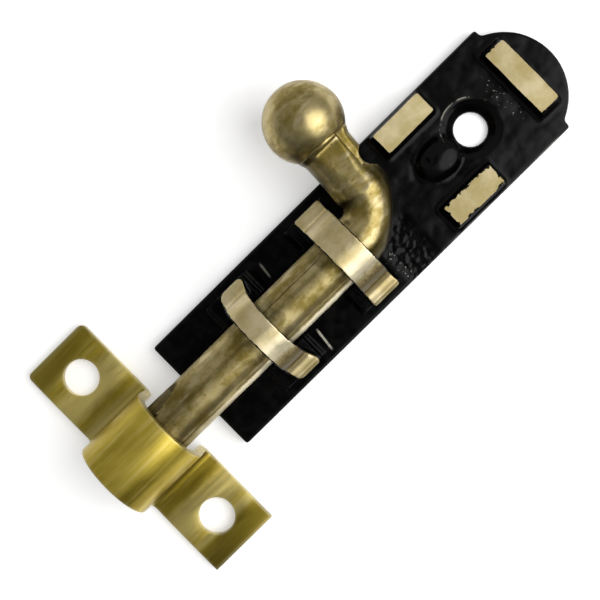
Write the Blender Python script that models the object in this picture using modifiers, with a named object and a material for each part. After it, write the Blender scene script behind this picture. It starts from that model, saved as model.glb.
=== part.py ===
"""Small barrel bolt with a ball handle, two guide straps and a separate bent keeper.

Metres, +Z up. The origin is on the back face of the base plate, midway along it.
+X runs along the rod towards the keeper, and the handle lies on the -Y side.
Each piece is a closed solid, and the pieces that touch on the real bolt keep a small gap.
"""
import math

import bmesh
import bpy
from mathutils import Matrix, Vector

MM = 0.001
GAP = 0.3 * MM

# base plate
PLATE_LENGTH = 76.2 * MM
PLATE_WIDTH = 21.0 * MM
PLATE_THICK = 2.2 * MM
ARCH_RADIUS = 10.0 * MM
SHOULDER_X = -32.1 * MM
ARCH_JOIN_ANGLE = math.radians(55)
SCREW_RADIUS = 2.65 * MM
SINK_RADIUS = 4.5 * MM
SINK_DEPTH = 1.6 * MM
REAR_SCREW_X = -21.1 * MM
FRONT_SCREW_X = 33.2 * MM

# lugs that hold the handle, and the low boss between them
LUG_TOP = 4.6 * MM
SIDE_LUG_X = (-18.8 * MM, -9.0 * MM)
SIDE_LUG_Y = (5.75 * MM, 9.65 * MM)
REAR_LUG_X = (-33.6 * MM, -29.7 * MM)
REAR_LUG_HALF_Y = 6.5 * MM
BOSS_X = -14.0 * MM
BOSS_HALF = (3.7 * MM, 2.8 * MM, 1.7 * MM)

# rod
ROD_RADIUS = 4.25 * MM
ROD_AXIS_Z = 8.3 * MM
ROD_NOSE_X = 52.6 * MM
ROD_REAR_X = 4.5 * MM
NOSE_CHAMFER = 0.7 * MM
FLAT_START_X = 38.6 * MM
FLAT_DEPTH = 0.85 * MM

# handle, drawn flat and then lifted about the rod axis
HANDLE_LIFT = math.radians(4)
BEND_CENTRE = Vector((2.6 * MM, -4.75 * MM, 0))
BEND_OUTER = 7.85 * MM
BEND_SPREAD = 1.1 * MM
BEND_INNER = 0.4 * MM
STEM_WAIST = (-2.2 * MM, -8.3 * MM, 4.15 * MM)
NECK_RADIUS = 4.25 * MM
TOP_FLAT = 3.72 * MM
UNDER_FLAT = -3.6 * MM
NOTCH_CENTRE = (-6.95 * MM, -8.0 * MM)
NOTCH_RADIUS = 1.9 * MM
BALL_CENTRE = Vector((-2.8 * MM, -18.1 * MM, 0))
BALL_RADIUS = 6.3 * MM
BALL_SEAT = 4.4 * MM
SPIGOT_RADIUS = 1.9 * MM
SPIGOT_REACH = 1.2 * MM

# guide straps
GUIDE_TOP = 14.7 * MM
GUIDE_TOP_FLAT = 1.4 * MM
GUIDE_ARCH_HALF = 6.45 * MM
GUIDE_FOOT_HALF = 9.3 * MM
GUIDE_SHOULDER_Z = 5.3 * MM
GUIDE_BASE_Z = PLATE_THICK + GAP
FLANGE_THICK = 0.8 * MM
TUNNEL_RADIUS = ROD_RADIUS + GAP
TENON_SIZE = (2.4 * MM, 1.6 * MM)
TENON_Y = 7.7 * MM
FRONT_GUIDE = {
    "x": 23.2 * MM, "top": 4.1 * MM, "foot": 5.0 * MM, "lean": 0.5 * MM,
    "flange": (18.1 * MM, 28.3 * MM),
}
REAR_GUIDE = {
    "x": 6.15 * MM, "top": 4.9 * MM, "foot": 5.4 * MM, "lean": 0.0,
    "flange": (2.9 * MM, 11.2 * MM),
}

# keeper
KEEPER_X = (43.45 * MM, 55.5 * MM)
KEEPER_THICK = 1.3 * MM
KEEPER_HALF = 21.35 * MM
KEEPER_ARCH_RADIUS = 6.05 * MM
KEEPER_ARCH_Z = 7.55 * MM
KEEPER_FOOT_BEND = 1.9 * MM
KEEPER_HOLE_RADIUS = 2.9 * MM
KEEPER_HOLE_Y = 15.2 * MM
KEEPER_CORNER = 0.9 * MM

MODEL = "toggle_bolt_latch"
CUTTERS = "toggle_bolt_latch_cutters"


def clear_scene():
    for obj in list(bpy.data.objects):
        bpy.data.objects.remove(obj, do_unlink=True)


def collection(name):
    made = bpy.data.collections.new(name)
    bpy.context.scene.collection.children.link(made)
    return made


def material(name, color, rough, metal):
    made = bpy.data.materials.new(name)
    made.use_nodes = True
    shader = made.node_tree.nodes["Principled BSDF"]
    shader.inputs["Base Color"].default_value = (*color, 1)
    shader.inputs["Roughness"].default_value = rough
    shader.inputs["Metallic"].default_value = metal
    return made


def add_mesh(name, mesh, group):
    obj = bpy.data.objects.new(name, mesh)
    group.objects.link(obj)
    return obj


def from_bmesh(name, shape, group):
    mesh = bpy.data.meshes.new(name)
    shape.to_mesh(mesh)
    shape.free()
    return add_mesh(name, mesh, group)


def as_cutter(obj):
    obj.hide_render = True
    obj.display_type = "WIRE"
    return obj


def block(name, low, high, group, draft=0.0):
    """A box between two corners; draft draws the top in on all four sides."""
    shape = bmesh.new()
    bmesh.ops.create_cube(shape, size=1.0)
    for vert in shape.verts:
        inset = draft if vert.co.z > 0 else 0.0
        for axis in range(3):
            at_high = vert.co[axis] > 0
            value = high[axis] if at_high else low[axis]
            if axis < 2:
                value += -inset if at_high else inset
            vert.co[axis] = value
    return from_bmesh(name, shape, group)


def cylinder(name, radius, low, high, group, top_radius=None, sides=40):
    """An upright cone or cylinder between two heights, at the object's own centre."""
    shape = bmesh.new()
    bmesh.ops.create_cone(
        shape, cap_ends=True, segments=sides, radius1=radius,
        radius2=radius if top_radius is None else top_radius, depth=high - low,
        matrix=Matrix.Translation((0, 0, (low + high) / 2)),
    )
    return from_bmesh(name, shape, group)


def outline(name, points, depth, group):
    """A flat outline in XY made solid by depth, half to each side, as a welded mesh."""
    curve = bpy.data.curves.new(name, "CURVE")
    curve.dimensions = "2D"
    curve.fill_mode = "BOTH"
    curve.extrude = depth / 2
    spline = curve.splines.new("POLY")
    spline.points.add(len(points) - 1)
    for point, (across, up) in zip(spline.points, points):
        point.co = (across, up, 0, 1)
    spline.use_cyclic_u = True
    return curve_to_mesh(name, curve, group)


def curve_to_mesh(name, curve, group):
    maker = bpy.data.objects.new(name + "_curve", curve)
    group.objects.link(maker)
    bpy.context.view_layer.update()
    graph = bpy.context.evaluated_depsgraph_get()
    mesh = bpy.data.meshes.new_from_object(maker.evaluated_get(graph))
    mesh.name = name
    bpy.data.objects.remove(maker, do_unlink=True)
    shape = bmesh.new()
    shape.from_mesh(mesh)
    bmesh.ops.remove_doubles(shape, verts=shape.verts, dist=0.002 * MM)
    bmesh.ops.recalc_face_normals(shape, faces=shape.faces)
    shape.to_mesh(mesh)
    shape.free()
    return add_mesh(name, mesh, group)


def boolean(obj, tool, operation):
    step = obj.modifiers.new(operation.title() + "_" + tool.name, "BOOLEAN")
    step.operation = operation
    step.solver = "EXACT"
    step.object = tool


def bevel(obj, width, segments=2, angle=40):
    step = obj.modifiers.new("Bevel", "BEVEL")
    step.width = width
    step.segments = segments
    step.limit_method = "ANGLE"
    step.angle_limit = math.radians(angle)


def finish(obj, look):
    obj.data.materials.clear()
    obj.data.materials.append(look)
    obj.data.shade_smooth()
    obj.data.set_sharp_from_angle(angle=math.radians(35))
    return obj


def arc(centre, radius, start, end, steps):
    """Points from one angle to another, both ends included."""
    turns = [start + (end - start) * step / steps for step in range(steps + 1)]
    return [(centre[0] + radius * math.cos(t), centre[1] + radius * math.sin(t)) for t in turns]


def plate_points():
    """Straight front, arched rear, and a pointed shoulder with a hollow where they meet."""
    half = PLATE_WIDTH / 2
    centre = -PLATE_LENGTH / 2 + ARCH_RADIUS
    arch = arc((centre, 0), ARCH_RADIUS, math.pi - ARCH_JOIN_ANGLE, math.pi + ARCH_JOIN_ANGLE, 28)
    join = arch[0]
    hollow = []
    for step in range(1, 5):
        part = step / 5
        along = SHOULDER_X + (join[0] - SHOULDER_X) * part ** 0.6
        across = half + (join[1] - half) * part
        hollow.append((along, across))
    left = [(along, -across) for along, across in reversed(hollow)]
    front = [(PLATE_LENGTH / 2, -half), (PLATE_LENGTH / 2, half)]
    return front + [(SHOULDER_X, half)] + hollow + arch + left + [(SHOULDER_X, -half)]


def make_plate(group, cutters, look):
    plate = outline("base_plate", plate_points(), PLATE_THICK, group)
    plate.data.transform(Matrix.Translation((0, 0, PLATE_THICK / 2)))
    bevel(plate, 0.2 * MM, 1, 60)
    sunk = PLATE_THICK / 2
    lugs = []
    for side, name in ((-1, "side_lug_left"), (1, "side_lug_right")):
        edges = sorted(side * value for value in SIDE_LUG_Y)
        lugs.append((name, (SIDE_LUG_X[0], edges[0]), (SIDE_LUG_X[1], edges[1])))
    lugs.append(
        ("rear_lug", (REAR_LUG_X[0], -REAR_LUG_HALF_Y), (REAR_LUG_X[1], REAR_LUG_HALF_Y))
    )
    for name, low, high in lugs:
        lug = as_cutter(block(name, (*low, sunk), (*high, LUG_TOP), cutters, 0.15 * MM))
        bevel(lug, 0.35 * MM, 2, 40)
        boolean(plate, lug, "UNION")
    shape = bmesh.new()
    bmesh.ops.create_uvsphere(shape, u_segments=24, v_segments=12, radius=1.0)
    bmesh.ops.scale(shape, vec=BOSS_HALF, verts=shape.verts)
    boss = as_cutter(from_bmesh("boss", shape, cutters))
    boss.location = (BOSS_X, 0, PLATE_THICK - 0.2 * MM)
    boolean(plate, boss, "UNION")
    for name, along in (("rear_screw", REAR_SCREW_X), ("front_screw", FRONT_SCREW_X)):
        hole = as_cutter(cylinder(name, SCREW_RADIUS, -1 * MM, 4 * MM, cutters))
        sink = as_cutter(
            cylinder(
                name + "_sink", SCREW_RADIUS, PLATE_THICK - SINK_DEPTH, PLATE_THICK + 0.02 * MM,
                cutters, top_radius=SINK_RADIUS,
            )
        )
        for tool in (hole, sink):
            tool.location.x = along
            boolean(plate, tool, "DIFFERENCE")
    for guide in (FRONT_GUIDE, REAR_GUIDE):
        for side in (-1, 1):
            slot = tenon("tenon_slot", guide["x"], side, GAP, (-1 * MM, PLATE_THICK + 1 * MM))
            boolean(plate, as_cutter(move_to(slot, cutters)), "DIFFERENCE")
    return finish(plate, look)


def move_to(obj, group):
    group.objects.link(obj)
    return obj


def tenon(name, along, side, grow, heights):
    """A rectangular peg under one foot of a guide, or its slot when grown by the gap."""
    shape = bmesh.new()
    bmesh.ops.create_cube(shape, size=1.0)
    half = (TENON_SIZE[0] / 2 + grow, TENON_SIZE[1] / 2 + grow)
    for vert in shape.verts:
        vert.co.x = along + math.copysign(half[0], vert.co.x)
        vert.co.y = side * TENON_Y + math.copysign(half[1], vert.co.y)
        vert.co.z = heights[1] if vert.co.z > 0 else heights[0]
    mesh = bpy.data.meshes.new(name)
    shape.to_mesh(mesh)
    shape.free()
    return bpy.data.objects.new(name, mesh)


def guide_profile():
    """The strap seen along the rod: an arch over the rod that turns out into two feet."""
    half = []
    crown_z = GUIDE_TOP - GUIDE_ARCH_HALF + GUIDE_TOP_FLAT * 0.55
    for step in range(11):
        turn = math.radians(90 - 9 * step)
        across = GUIDE_ARCH_HALF * math.cos(turn) ** 0.92 if step else 0.0
        up = crown_z + (GUIDE_TOP - crown_z) * math.sin(turn)
        half.append((across, up))
    bend = 0.75 * MM
    foot_side = GUIDE_ARCH_HALF + 0.25 * MM
    half += arc((foot_side + bend, GUIDE_SHOULDER_Z + bend), bend, math.pi, 1.5 * math.pi, 4)
    corner = 0.8 * MM
    turned = arc((GUIDE_FOOT_HALF - corner, GUIDE_SHOULDER_Z - corner), corner, math.pi / 2, 0, 4)
    half += turned
    half.append((GUIDE_FOOT_HALF, GUIDE_BASE_Z))
    left = [(-across, up) for across, up in reversed(half[1:])]
    return half + left


def make_guide(name, spec, group, cutters, look):
    guide = outline(name, guide_profile(), 1.0, group)
    # stand the outline up across the rod and give it the draft of a casting
    for vert in guide.data.vertices:
        across, up, front = vert.co
        share = min(1.0, (GUIDE_TOP - up) / (GUIDE_TOP - GUIDE_SHOULDER_Z))
        width = spec["top"] + (spec["foot"] - spec["top"]) * share
        middle = spec["x"] - spec["lean"] * share
        vert.co = (middle + math.copysign(width / 2, front), across, up)
    bevel(guide, 0.25 * MM, 2, 50)
    rear, front = spec["flange"]
    foot = as_cutter(
        block(
            name + "_flange", (rear, -GUIDE_FOOT_HALF, GUIDE_BASE_Z),
            (front, GUIDE_FOOT_HALF, GUIDE_BASE_Z + FLANGE_THICK), cutters, 0.3 * MM,
        )
    )
    boolean(guide, foot, "UNION")
    for side in (-1, 1):
        heights = (0.0, GUIDE_BASE_Z + FLANGE_THICK)
        peg = as_cutter(move_to(tenon(name + "_tenon", spec["x"], side, 0, heights), cutters))
        boolean(guide, peg, "UNION")
    tunnel = as_cutter(
        cylinder(name + "_tunnel", TUNNEL_RADIUS, -9 * MM, 9 * MM, cutters, sides=48)
    )
    tunnel.rotation_euler.y = math.pi / 2
    tunnel.location = (spec["x"], 0, ROD_AXIS_Z)
    low = GUIDE_BASE_Z - 1 * MM
    legs = as_cutter(
        block(
            name + "_legs", (rear - 2 * MM, -TUNNEL_RADIUS, low),
            (front + 2 * MM, TUNNEL_RADIUS, ROD_AXIS_Z), cutters,
        )
    )
    boolean(guide, legs, "DIFFERENCE")
    boolean(guide, tunnel, "DIFFERENCE")
    return finish(guide, look)


def make_rod(group, cutters, look):
    """A round rod turned about its own axis, with a chamfered nose and a slanting flat."""
    profile = [
        (0, ROD_NOSE_X), (ROD_RADIUS - NOSE_CHAMFER, ROD_NOSE_X),
        (ROD_RADIUS, ROD_NOSE_X - NOSE_CHAMFER), (ROD_RADIUS, FLAT_START_X - 2 * MM),
        (ROD_RADIUS, 24 * MM), (ROD_RADIUS, ROD_REAR_X), (0, ROD_REAR_X),
    ]
    mesh = bpy.data.meshes.new("bolt_rod")
    mesh.from_pydata(
        [(across, 0, up) for across, up in profile],
        [(i, i + 1) for i in range(len(profile) - 1)], [],
    )
    rod = add_mesh("bolt_rod", mesh, group)
    rod.rotation_euler.y = math.pi / 2
    rod.location.z = ROD_AXIS_Z
    turned = rod.modifiers.new("Turn", "SCREW")
    turned.axis = "Z"
    turned.steps = 48
    turned.render_steps = 48
    turned.use_merge_vertices = True
    turned.merge_threshold = 0.00001
    # the flat falls away towards the nose, on the upper left of the rod
    span = ROD_NOSE_X - FLAT_START_X
    flat = as_cutter(
        block("nose_flat", (0, -6 * MM, 0), (2 * span, 6 * MM, 5 * MM), cutters)
    )
    slope = math.atan2(FLAT_DEPTH, span)
    lean = Matrix.Rotation(math.radians(62), 4, "X")
    lift = Matrix.Translation((0, 0, ROD_RADIUS))
    tilt = Matrix.Rotation(slope, 4, "Y")
    start = Matrix.Translation((FLAT_START_X, 0, ROD_AXIS_Z))
    flat.matrix_world = start @ lean @ lift @ tilt
    boolean(rod, flat, "DIFFERENCE")
    return finish(rod, look)


def handle_stations():
    """Centre points and radii of the handle, from the rod round the bend to the neck."""
    stations = [(Vector((ROD_REAR_X - GAP, 0, 0)), ROD_RADIUS)]
    stations.append((Vector((BEND_CENTRE.x + 0.6 * MM, 0, 0)), ROD_RADIUS))
    for step in range(10):
        turn = 90 * step / 9
        outer = BEND_OUTER + BEND_SPREAD * ((turn - 43) / 45) ** 2
        reach = (outer + BEND_INNER) / 2
        way = Vector((-math.sin(math.radians(turn)), math.cos(math.radians(turn)), 0))
        stations.append((BEND_CENTRE + way * reach, (outer - BEND_INNER) / 2))
    waist = Vector((STEM_WAIST[0], STEM_WAIST[1], 0))
    way = (BALL_CENTRE - waist).normalized()
    neck = BALL_CENTRE - way * (BALL_SEAT + GAP)
    shoulder, shoulder_radius = stations[-1]
    for step in range(1, 5):
        part = step / 4
        ease = part * part * (3 - 2 * part)
        radius = shoulder_radius + (STEM_WAIST[2] - shoulder_radius) * ease
        centre = shoulder.lerp(waist, part)
        centre.x = shoulder.x + (waist.x - shoulder.x) * ease
        stations.append((centre, radius))
    for step in range(1, 6):
        part = step / 5
        radius = STEM_WAIST[2] + (NECK_RADIUS - STEM_WAIST[2]) * part ** 1.6
        stations.append((waist.lerp(neck, part), radius))
    return stations, way


def make_handle(group, cutters, look):
    stations, way = handle_stations()
    curve = bpy.data.curves.new("bolt_handle", "CURVE")
    curve.dimensions = "3D"
    curve.bevel_depth = 1.0
    curve.bevel_resolution = 12
    curve.use_fill_caps = True
    spline = curve.splines.new("POLY")
    spline.points.add(len(stations) - 1)
    for point, (centre, radius) in zip(spline.points, stations):
        point.co = (*centre, 1)
        point.radius = radius
    handle = curve_to_mesh("bolt_handle", curve, group)
    # the stem is dressed flat above and below, and notched where it meets the bend
    top = block(
        "stem_top", (-10 * MM, -16 * MM, TOP_FLAT), (2.5 * MM, -3 * MM, 7 * MM), cutters
    )
    under = block(
        "stem_under", (-10 * MM, -16 * MM, -7 * MM), (3.6 * MM, 7 * MM, UNDER_FLAT), cutters
    )
    notch = cylinder("stem_notch", NOTCH_RADIUS, -7 * MM, 7 * MM, cutters, sides=32)
    notch.data.transform(Matrix.Translation((*NOTCH_CENTRE, 0)))
    for tool in (top, under, notch):
        boolean(handle, as_cutter(tool), "DIFFERENCE")
    for obj in (handle, top, under, notch):
        obj.location.z = ROD_AXIS_Z
        obj.rotation_euler.x = -HANDLE_LIFT
    along = Vector((0, 0, 1)).rotation_difference(way)
    spigot = cylinder(
        "spigot", SPIGOT_RADIUS, -BALL_SEAT - 2 * MM, -SPIGOT_REACH, cutters, sides=24
    )
    spigot.data.transform(along.to_matrix().to_4x4())
    spigot.data.transform(Matrix.Translation(BALL_CENTRE))
    spigot.location.z = ROD_AXIS_Z
    spigot.rotation_euler.x = -HANDLE_LIFT
    boolean(handle, as_cutter(spigot), "UNION")
    finish(handle, look)

    shape = bmesh.new()
    bmesh.ops.create_uvsphere(shape, u_segments=40, v_segments=24, radius=BALL_RADIUS)
    ball = from_bmesh("ball_knob", shape, group)
    ball.data.transform(along.to_matrix().to_4x4())
    ball.data.transform(Matrix.Translation(BALL_CENTRE))
    seat = block(
        "ball_seat", (-7 * MM, -7 * MM, -9 * MM), (7 * MM, 7 * MM, -BALL_SEAT), cutters
    )
    bore = cylinder(
        "ball_bore", SPIGOT_RADIUS + GAP, -BALL_SEAT - 1 * MM, -SPIGOT_REACH + GAP, cutters,
        sides=24,
    )
    for tool in (seat, bore):
        tool.data.transform(along.to_matrix().to_4x4())
        tool.data.transform(Matrix.Translation(BALL_CENTRE))
        boolean(ball, as_cutter(tool), "DIFFERENCE")
    for obj in (ball, seat, bore):
        obj.location.z = ROD_AXIS_Z
        obj.rotation_euler.x = -HANDLE_LIFT
    return handle, finish(ball, look)


def keeper_profile():
    """The bent strap seen along the rod: two flat ears and an arch, as one closed outline."""
    half = KEEPER_THICK / 2
    middle = []
    foot_side = KEEPER_ARCH_RADIUS
    bend = KEEPER_FOOT_BEND
    for angle in range(90, -1, -9):
        turn = math.radians(angle)
        middle.append(
            (foot_side * math.cos(turn), KEEPER_ARCH_Z + foot_side * math.sin(turn), turn)
        )
    for angle in range(180, 271, 15):
        turn = math.radians(angle)
        middle.append(
            (
                foot_side + bend + bend * math.cos(turn),
                half + bend + bend * math.sin(turn),
                turn + math.pi,
            )
        )
    middle.append((KEEPER_HALF, half, math.pi / 2))
    outer = [(y + half * math.cos(t), z + half * math.sin(t)) for y, z, t in middle]
    inner = [(y - half * math.cos(t), z - half * math.sin(t)) for y, z, t in middle]
    right = outer + inner[::-1]
    left_inner = [(-y, z) for y, z in inner[1:]]
    left_outer = [(-y, z) for y, z in outer[1:]]
    return right + left_inner + left_outer[::-1]


def make_keeper(group, cutters, look):
    keeper = outline("keeper", keeper_profile(), KEEPER_X[1] - KEEPER_X[0], group)
    middle = sum(KEEPER_X) / 2
    for vert in keeper.data.vertices:
        across, up, along = vert.co
        vert.co = (middle + along, across, up)
    for along in KEEPER_X:
        for side in (-1, 1):
            corner = corner_cutter(along, side, middle, cutters)
            boolean(keeper, corner, "DIFFERENCE")
    for side in (-1, 1):
        hole = as_cutter(
            cylinder("keeper_hole", KEEPER_HOLE_RADIUS, -1 * MM, 3 * MM, cutters)
        )
        hole.location = (middle, side * KEEPER_HOLE_Y, 0)
        boolean(keeper, hole, "DIFFERENCE")
    return finish(keeper, look)


def corner_cutter(along, side, middle, cutters):
    """What is cut away to round one corner of an ear."""
    inward = 1 if along < middle else -1
    centre = (along + inward * KEEPER_CORNER, side * (KEEPER_HALF - KEEPER_CORNER))
    radius = KEEPER_CORNER
    rounded = [
        (
            centre[0] - inward * radius * math.cos(math.radians(15 * step)),
            centre[1] + side * radius * math.sin(math.radians(15 * step)),
        )
        for step in range(7)
    ]
    past = 1 * MM
    beyond = [
        (centre[0], side * (KEEPER_HALF + past)),
        (along - inward * past, side * (KEEPER_HALF + past)),
        (along - inward * past, centre[1]),
    ]
    return as_cutter(outline("ear_corner", rounded + beyond, 6 * MM, cutters))


def build():
    clear_scene()
    group = collection(MODEL)
    cutters = collection(CUTTERS)
    lacquer = material("black_lacquer", (0.012, 0.012, 0.012), 0.22, 0.0)
    cast_brass = material("cast_brass", (0.46, 0.38, 0.22), 0.38, 1.0)
    strap_brass = material("polished_strap_brass", (0.62, 0.52, 0.32), 0.28, 1.0)
    sheet_brass = material("satin_sheet_brass", (0.60, 0.50, 0.18), 0.32, 1.0)
    make_plate(group, cutters, lacquer)
    make_guide("front_guide", FRONT_GUIDE, group, cutters, strap_brass)
    make_guide("rear_guide", REAR_GUIDE, group, cutters, strap_brass)
    make_rod(group, cutters, cast_brass)
    make_handle(group, cutters, cast_brass)
    make_keeper(group, cutters, sheet_brass)


build()
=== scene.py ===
import math
import bpy
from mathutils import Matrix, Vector


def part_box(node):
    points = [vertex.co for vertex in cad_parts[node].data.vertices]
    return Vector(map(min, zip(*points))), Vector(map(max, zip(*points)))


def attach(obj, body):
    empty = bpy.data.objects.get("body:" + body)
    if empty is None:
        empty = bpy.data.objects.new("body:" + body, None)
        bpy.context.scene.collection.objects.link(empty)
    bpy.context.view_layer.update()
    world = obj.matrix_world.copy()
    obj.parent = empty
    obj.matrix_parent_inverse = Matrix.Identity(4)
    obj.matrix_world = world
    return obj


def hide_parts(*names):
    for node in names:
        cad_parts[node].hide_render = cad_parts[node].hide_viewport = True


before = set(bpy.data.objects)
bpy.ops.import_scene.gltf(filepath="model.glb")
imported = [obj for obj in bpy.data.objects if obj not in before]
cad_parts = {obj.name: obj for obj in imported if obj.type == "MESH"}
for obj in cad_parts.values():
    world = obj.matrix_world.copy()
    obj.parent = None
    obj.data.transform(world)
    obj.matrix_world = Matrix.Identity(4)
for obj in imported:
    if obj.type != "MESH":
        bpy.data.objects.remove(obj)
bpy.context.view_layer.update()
mm = 0.001


# selection and modifier helpers
def deselectAll():
    if bpy.context.mode != "OBJECT":
        bpy.ops.object.mode_set(mode="OBJECT")
    bpy.ops.object.select_all(action="DESELECT")


def pick(obj):
    deselectAll()
    obj.select_set(True)
    bpy.context.view_layer.objects.active = obj


def place(obj, name):
    # name a new primitive and put its place in its mesh
    obj.name = name
    obj.data.name = name
    pick(obj)
    bpy.ops.object.transform_apply(location=True, rotation=True, scale=True)
    return obj


def addBox(name, low, high):
    deselectAll()
    low, high = Vector(low), Vector(high)
    bpy.ops.mesh.primitive_cube_add(size=1, location=(low + high) / 2, scale=high - low)
    return place(bpy.context.object, name)


def addRound(name, radius, depth, at, turn=(0, 0, 0), sides=64, top=None):
    deselectAll()
    bpy.ops.mesh.primitive_cone_add(
        vertices=sides, radius1=radius, radius2=radius if top is None else top,
        depth=depth, location=at, rotation=turn,
    )
    return place(bpy.context.object, name)


def addBall(name, size, at, segments=32, rings=18):
    deselectAll()
    bpy.ops.mesh.primitive_uv_sphere_add(
        segments=segments, ring_count=rings, radius=1, location=at, scale=size
    )
    return place(bpy.context.object, name)


def selectPart(obj, kind, test):
    # select the faces, edges or vertices that pass the test, and go into edit mode
    pick(obj)
    mesh = obj.data
    for group in (mesh.vertices, mesh.edges, mesh.polygons):
        group.foreach_set("select", [False] * len(group))
    bpy.ops.object.mode_set(mode="EDIT")
    bpy.ops.mesh.select_mode(type=kind)
    bpy.ops.object.mode_set(mode="OBJECT")
    if kind == "FACE":
        for face in mesh.polygons:
            face.select = test(face.center, face.normal)
    elif kind == "EDGE":
        for edge in mesh.edges:
            edge.select = test(*[mesh.vertices[i].co for i in edge.vertices])
    else:
        for vert in mesh.vertices:
            vert.select = test(vert.co)
    bpy.ops.object.mode_set(mode="EDIT")


def editDone():
    bpy.ops.object.mode_set(mode="OBJECT")


def applyModifiers(obj):
    pick(obj)
    for step in list(obj.modifiers):
        bpy.ops.object.modifier_apply(modifier=step.name)


def combine(obj, tool, operation):
    step = obj.modifiers.new("join", "BOOLEAN")
    step.operation = operation
    step.solver = "EXACT"
    step.object = tool
    applyModifiers(obj)
    bpy.data.objects.remove(tool, do_unlink=True)


def joinTo(obj, others):
    pick(obj)
    for other in others:
        other.select_set(True)
    bpy.ops.object.join()


def meltTogether(obj, voxel, rounds, factor=0.5):
    # fuse overlapping solids into one casting with soft inside corners
    remesh = obj.modifiers.new("melt", "REMESH")
    remesh.mode = "VOXEL"
    remesh.voxel_size = voxel
    soften = obj.modifiers.new("soften", "SMOOTH")
    soften.factor = factor
    soften.iterations = rounds
    applyModifiers(obj)


def roughen(obj, name, size, depth, weight=None):
    # push the surface in by up to depth, in soft lumps of the given size
    lumps = bpy.data.textures.new(name, "CLOUDS")
    lumps.noise_scale = size
    lumps.noise_depth = 2
    step = obj.modifiers.new(name, "DISPLACE")
    step.texture = lumps
    step.texture_coords = "LOCAL"
    step.strength = depth
    step.mid_level = 1.0
    if weight:
        group = obj.vertex_groups.new(name=name)
        for vert in obj.data.vertices:
            amount = weight(vert.co)
            if amount > 0:
                group.add([vert.index], amount, "REPLACE")
        step.vertex_group = name
    applyModifiers(obj)


def shadeSoft(obj, angle=40):
    pick(obj)
    bpy.ops.object.shade_smooth_by_angle(angle=math.radians(angle))


def outward(obj):
    selectPart(obj, "FACE", lambda c, n: True)
    bpy.ops.mesh.remove_doubles(threshold=0.001 * mm)
    bpy.ops.mesh.normals_make_consistent(inside=False)
    editDone()


def between(value, low, high):
    return min(1.0, max(0.0, (value - low) / (high - low)))


def stepTo(value, low, high):
    part = between(value, low, high)
    return part * part * (3 - 2 * part)


# materials
class Finish:
    # a small builder for one node material
    def __init__(self, name):
        self.look = bpy.data.materials.new(name)
        self.look.use_nodes = True
        self.tree = self.look.node_tree
        self.shader = self.tree.nodes["Principled BSDF"]
        self.coords = self.tree.nodes.new("ShaderNodeTexCoord").outputs["Object"]

    def node(self, kind, inputs=None, **settings):
        made = self.tree.nodes.new("ShaderNode" + kind)
        for key, value in settings.items():
            setattr(made, key, value)
        for key, value in (inputs or {}).items():
            if isinstance(value, bpy.types.NodeSocket):
                self.tree.links.new(value, made.inputs[key])
            else:
                made.inputs[key].default_value = value
        return made

    def set(self, **values):
        for key, value in values.items():
            name = key.replace("_", " ")
            if isinstance(value, bpy.types.NodeSocket):
                self.tree.links.new(value, self.shader.inputs[name])
            else:
                self.shader.inputs[name].default_value = value

    def stretched(self, scale, at=(0, 0, 0)):
        return self.node("Mapping", {"Vector": self.coords, "Scale": scale, "Location": at}).outputs[0]

    def noise(self, vector, scale, detail=4.0, rough=0.55):
        made = self.node("TexNoise", {"Vector": vector, "Scale": scale, "Detail": detail, "Roughness": rough})
        return made.outputs["Fac"]

    def ramp(self, value, low, high, start=0.0, end=1.0, smooth=True):
        made = self.node(
            "MapRange",
            {"Value": value, "From Min": low, "From Max": high, "To Min": start, "To Max": end},
            interpolation_type="SMOOTHSTEP" if smooth else "LINEAR",
        )
        return made.outputs[0]

    def math(self, kind, first, second=0.0, third=0.0):
        return self.node("Math", {0: first, 1: second, 2: third}, operation=kind).outputs[0]

    def blend(self, amount, first, second):
        made = self.node("Mix", {0: amount}, data_type="RGBA")
        for slot, value in ((6, first), (7, second)):
            if isinstance(value, bpy.types.NodeSocket):
                self.tree.links.new(value, made.inputs[slot])
            else:
                made.inputs[slot].default_value = (*value, 1)
        return made.outputs[2]

    def bump(self, height, depth, strength=1.0, under=None):
        inputs = {"Height": height, "Distance": depth, "Strength": strength}
        if under:
            inputs["Normal"] = under
        return self.node("Bump", inputs).outputs[0]

    def axes(self):
        return self.node("SeparateXYZ", {0: self.coords}).outputs


brass = {
    "bright": (0.67, 0.57, 0.35),
    "mid": (0.49, 0.40, 0.185),
    "deep": (0.24, 0.18, 0.042),
    "sheetBright": (0.80, 0.68, 0.30),
    "sheetMid": (0.55, 0.42, 0.055),
    "sheetDeep": (0.30, 0.215, 0.012),
    "brown": (0.065, 0.042, 0.005),
    # pale tone for painted highlights
    "paintedHighlight": (0.92, 0.84, 0.62),
    # dark tone for painted shade
    "paintedShade": (0.035, 0.026, 0.004),
    "lacquer": (0.0008, 0.0008, 0.0007),
    # pale tone for chips in the lacquer and for painted highlights on the plate
    "chip": (0.45, 0.43, 0.36),
}


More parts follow.
